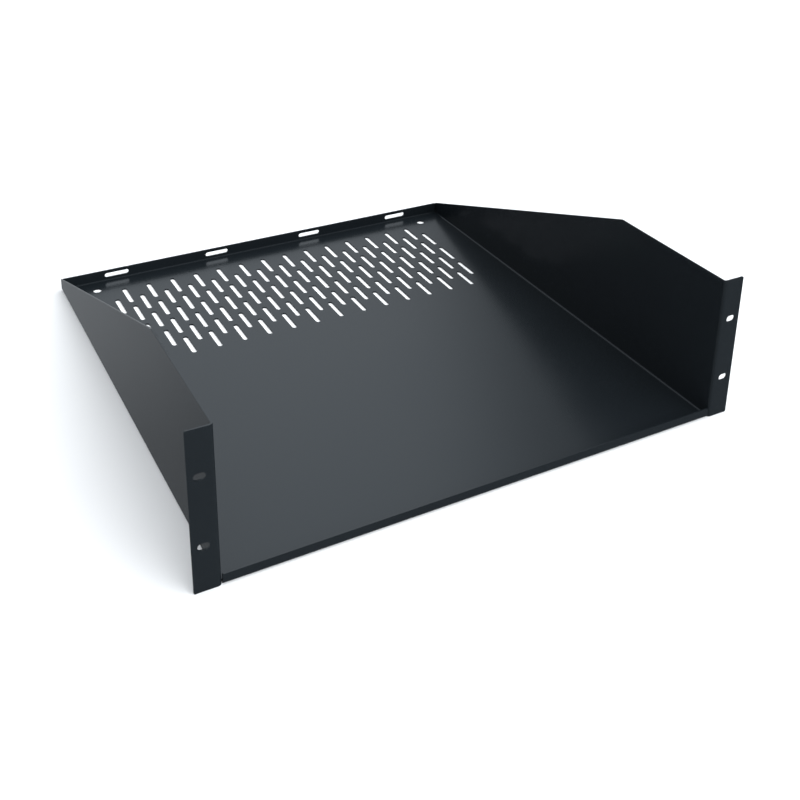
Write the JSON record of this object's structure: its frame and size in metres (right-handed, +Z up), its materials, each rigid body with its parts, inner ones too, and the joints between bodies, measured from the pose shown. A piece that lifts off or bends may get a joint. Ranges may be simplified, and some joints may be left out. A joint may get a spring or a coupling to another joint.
{
  "type": "vented rack shelf",
  "caption": "Folded sheet-steel rack shelf with slotted ears, sloping side walls, a low front lip and rear flange, and a floor with vent slots towards the rear.",
  "frame": {"origin": "middle of the footprint, level with the underside of the floor and the lower ends of the ears", "axes": "+X across the rack to the right as seen from the front, +Y from the mounting ears to the rear flange, +Z up"},
  "size_m": [0.4826, 0.4826, 0.1325],
  "materials": {
    "shelf": "satin black powder coat"
  },
  "bodies": {
    "root": {"shelf": "shelf"}
  },
  "joints": []
}
